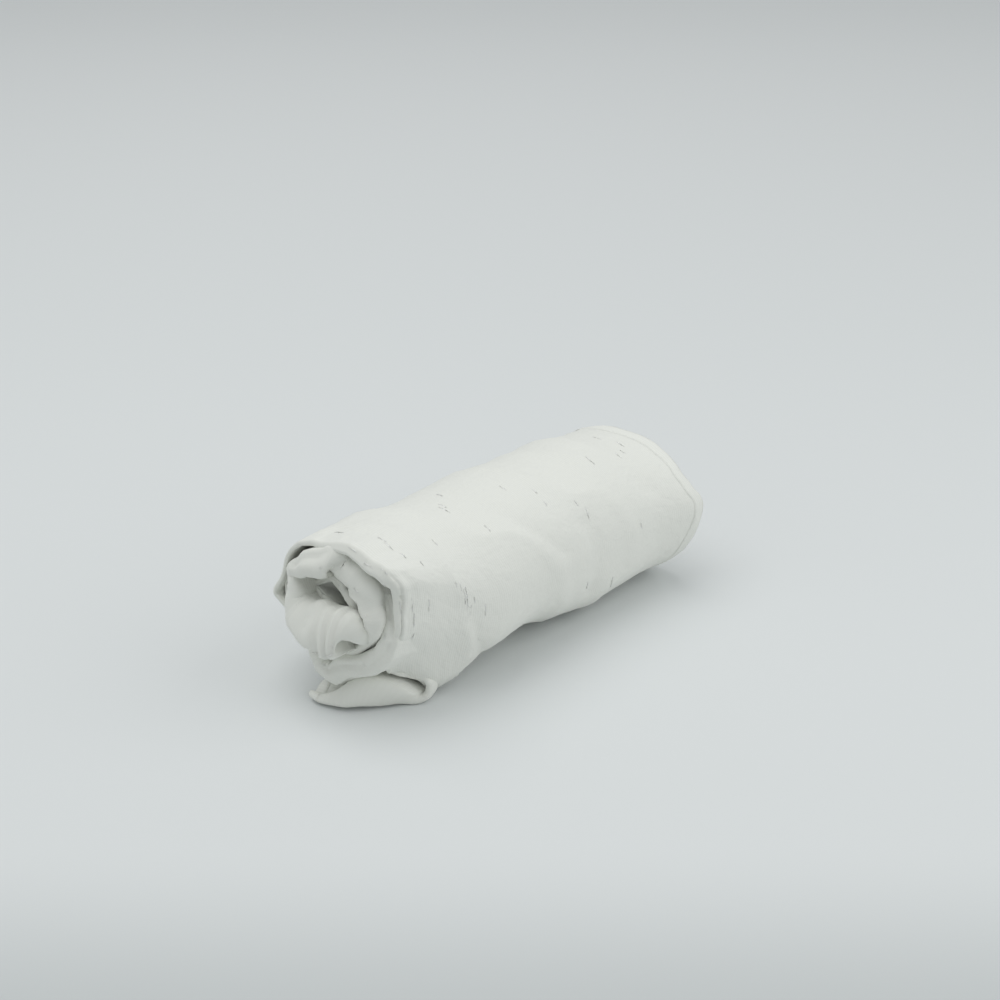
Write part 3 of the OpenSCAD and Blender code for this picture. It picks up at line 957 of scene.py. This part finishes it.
def seamRound(name, side, node):
    # one stitch after another round the hemmed end, on one face of the cover
    starts = turnsAt(coverStart + sewing["fromTurn"], sewing["toTurn"], sewing["pitch"])[:-1]
    feel = (sewing["feel"] * np.array([[-1, 0, 1]]), 0)
    lines, ups = [], []
    for start in starts:
        stop = start + sewing["length"] / pressed["turnLength"]
        k = np.linspace(start, stop, sewing["rings"])[:, None]
        drift = sewing["drift"] * math.sin(start * sewing["driftRate"]) + farEdge(start)
        x = roll["hem"] + sewing["inset"] + drift
        line, normal = faceLine(k, x, side * math.pi / 2, feel, x)
        lines.append(line + normal * (hem["half"] + stitchBow()[:, None]))
        ups.append(normal)
    made = threads(name, lines, ups, sewing["wide"] * sewing["radius"],
                   sewing["high"] * sewing["radius"], sewing["sides"],
                   np.zeros((len(lines), sewing["rings"])), threadFinish)
    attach(made, "roll")
    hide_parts(node)
    return made


outerSeam = seamRound("outer_seam", -1, "left_rail_stitching")
innerSeam = seamRound("inner_seam", 1, "right_rail_stitching")


def twistAlong(length, chance):
    # the flat yarn rolls over every few millimetres, so it glints in dashes
    rolls = length / (chance.uniform(*floats["rollEvery"]) * mm) * math.pi
    return floats["rollBy"] * np.sin(np.linspace(0, rolls, floats["rings"]) + chance.random() * 6)


def floatBow():
    # up out of the cloth at once, level, and down into it again
    rise = np.clip(3 * np.sin(math.pi * np.linspace(0, 1, floats["rings"])), 0, 1)
    return floats["above"] * (rise * 1.5 - 0.5)


def yarnFloats():
    chance = np.random.default_rng(7)
    lines, ups, twists = [], [], []
    spacing = (roll["hem"] - roll["near"] - 2 * floats["fromEnds"]) / floats["count"]
    places = [(start, x * mm, length * mm) for start, x, length in floats["onBody"]]
    for i in range(floats["count"]):
        start = coverStart + floats["fromTurn"] + floats["overTurns"] * chance.random()
        x = roll["near"] + floats["fromEnds"] + spacing * (i + chance.random() / 2)
        length = mix(floats["shortest"], floats["longest"], chance.random())
        places.append((start, x, length))
    feel = (floats["feel"] * np.array([[-1, 0, 1]]), 0)
    for start, x, length in places:
        k = np.linspace(start, start + length / pressed["turnLength"], floats["rings"])[:, None]
        line, normal = faceLine(k, x, -math.pi / 2, feel, x)
        lines.append(line + normal * floatBow()[:, None])
        ups.append(normal)
        twists.append(twistAlong(length, chance))
    feel = (0.1 * mm, np.radians([[-3, 0, 3]]))
    for k, degrees, length in floats["onFold"]:
        spread = np.linspace(-0.5, 0.5, floats["rings"])[:, None] * length * mm
        nose = foldedShape(k, 1)
        line, normal = faceLine(k + spread / relief["turnRun"], nose, np.radians(degrees), feel,
                                nose + feel[0] + 5 * mm)
        lines.append(line + normal * floats["above"])
        ups.append(normal)
        twists.append(twistAlong(length * mm, chance))
    return lines, ups, np.array(twists)


yarnLines, yarnUps, yarnTwists = yarnFloats()
yarns = threads("yarn_floats", yarnLines, yarnUps, floats["width"], floats["thickness"],
                floats["sides"], yarnTwists, yarnFinish)
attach(yarns, "roll")
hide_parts("metallic_yarns")


def alongTail(x, y, above):
    line = onTail(x[:, None], y[:, None])[:, 0]
    line[:, 2] += above
    return line


def tailThreads(name, lines, width, height, sides, twists, material, node):
    ups = [np.tile([0.0, 0.0, 1.0], (len(line), 1)) for line in lines]
    made = threads(name, lines, ups, width, height, sides, twists, material)
    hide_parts(node)
    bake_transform(made)
    return made


def tailSeamLines():
    above = tail["half"] + tail["hemExtra"] + stitchBow()
    lines = []
    for start in np.arange(tailNear + sewing["tailFrom"], roll["far"] - sewing["tailTo"],
                           sewing["pitch"]):
        x = np.linspace(start, start + sewing["length"], sewing["rings"])
        lines.append(alongTail(x, endEdge(x) - hem["width"] + sewing["inset"], above))
    return lines


def tailYarnLines():
    # evenly spaced over the wide half of the tail
    lines, twists = [], []
    spacing = (roll["hem"] - tailNear) / (2 * floats["onTail"])
    first = hingeY + floats["tailGap"]
    for i in range(1, floats["onTail"] + 1):
        start = roll["hem"] - i * spacing
        last = endEdge(start) - hem["width"] - floats["tailClear"]
        y = np.linspace(first, mix(first, last, floats["tailShare"]), floats["rings"])
        x = start + floats["tailSway"] * np.sin(y * floats["tailSwayRate"])
        lines.append(alongTail(x, y, tail["half"] + floatBow()))
        twists.append(np.sin(np.linspace(0, floats["tailRolls"], floats["rings"]) + i))
    return lines, np.array(twists)


tailSeam = tailSeamLines()
tailStitches = tailThreads("tail_seam", tailSeam, sewing["wide"] * sewing["radius"],
                           sewing["high"] * sewing["radius"], sewing["sides"],
                           np.zeros((len(tailSeam), sewing["rings"])), threadFinish,
                           "tail_stitching")
tailYarnPaths, tailTwists = tailYarnLines()
tailYarns = tailThreads("tail_floats", tailYarnPaths, floats["width"], floats["thickness"],
                        floats["sides"], tailTwists, yarnFinish, "tail_yarns")
print("thread and yarn ready")


# floor, light and camera

stageLook = {
    "floor": "#e0e3e3",
    "nearFloor": "#c8cccc",            # painted shade: the paper is drawn darker towards the front
    "farFloor": "#eff1f1",             # and painted light: paler a long way behind
    "frontWay": (-0.74, -0.67, 0),
    "near": (0.25, 0.42),              # metres in front over which the painted shade comes in
    "far": (0.4, 1.9),                 # metres behind over which the painted light comes in
    "floorSize": 6.0,
    "roughness": 0.9,
    "specular": 0.2,
}


def seamlessPaper(name, look):
    # matt background paper, with painted shade towards the front and painted light far behind
    material = bpy.data.materials.new(name)
    material.use_nodes = True
    tree = material.node_tree
    shader = tree.nodes["Principled BSDF"]
    place = addNode(tree, "ShaderNodeTexCoord")
    forward = addNode(tree, "ShaderNodeVectorMath", {"operation": "DOT_PRODUCT"},
                      {1: look["frontWay"]}, {0: place.outputs["Object"]})
    paintedLightFalloff = []
    # painted shade in front and painted light far behind, mixed into the paper's colour
    for part, way in (("near", 1), ("far", -1)):
        change = addNode(tree, "ShaderNodeMapRange", {"interpolation_type": "SMOOTHSTEP"},
                         {"From Min": way * look[part][0], "From Max": way * look[part][1]},
                         {"Value": forward.outputs["Value"]})
        paintedLightFalloff.append(addNode(tree, "ShaderNodeMix", {"data_type": "RGBA"},
                              {"A": toLinear(look["floor"]), "B": toLinear(look[part + "Floor"])},
                              {"Factor": change.outputs["Result"]}))
    tree.links.new(paintedLightFalloff[0].outputs["Result"], paintedLightFalloff[1].inputs["A"])
    tree.links.new(paintedLightFalloff[1].outputs["Result"], shader.inputs["Base Color"])
    shader.inputs["Roughness"].default_value = look["roughness"]
    shader.inputs["Specular IOR Level"].default_value = look["specular"]
    return material


half = stageLook["floorSize"] / 2
corners = [(-half, -half, 0), (half, -half, 0), (half, half, 0), (-half, half, 0)]
floor = meshObject("floor", corners, [(0, 1, 2, 3)], seamlessPaper("seamless_paper", stageLook))

lights = {
    "sky": "#eef2f3",
    "skyStrength": 0.54,
    "key": 16.0,
    "keySize": 1.8,
    "keyPlace": (-0.25, 0.45, 1.9),
    "fill": 10.5,
    "fillSize": 1.8,
    "fillPlace": (0.8, -1.5, 1.2),
    "aim": Vector((0, 0, 0.05)),
}
world = bpy.data.worlds.new("studio")
bpy.context.scene.world = world
world.use_nodes = True
background = world.node_tree.nodes["Background"]
background.inputs["Color"].default_value = toLinear(lights["sky"])
background.inputs["Strength"].default_value = lights["skyStrength"]

for name in ("key", "fill"):
    softbox = bpy.data.lights.new(name, "AREA")
    softbox.energy = lights[name]
    softbox.size = lights[name + "Size"]
    lamp = bpy.data.objects.new(name, softbox)
    lamp.location = lights[name + "Place"]
    lamp.rotation_euler = (lights["aim"] - lamp.location).to_track_quat("-Z", "Y").to_euler()
    bpy.context.scene.collection.objects.link(lamp)

view = {"azimuth": -48, "elevation": 25, "lens": 70, "distance": 1.35,
        "target": (0.067, 0.0535, 0.05)}
azimuth, elevation = math.radians(view["azimuth"]), math.radians(view["elevation"])
back = Vector((math.sin(azimuth) * math.cos(elevation),
               -math.cos(azimuth) * math.cos(elevation),
               math.sin(elevation)))
cameraData = bpy.data.cameras.new("camera")
cameraData.lens = view["lens"]
camera = bpy.data.objects.new("camera", cameraData)
camera.location = Vector(view["target"]) + back * view["distance"]
camera.rotation_euler = (-back).to_track_quat("-Z", "Y").to_euler()
bpy.context.scene.collection.objects.link(camera)
bpy.context.scene.camera = camera
bpy.context.scene.view_settings.view_transform = "Standard"
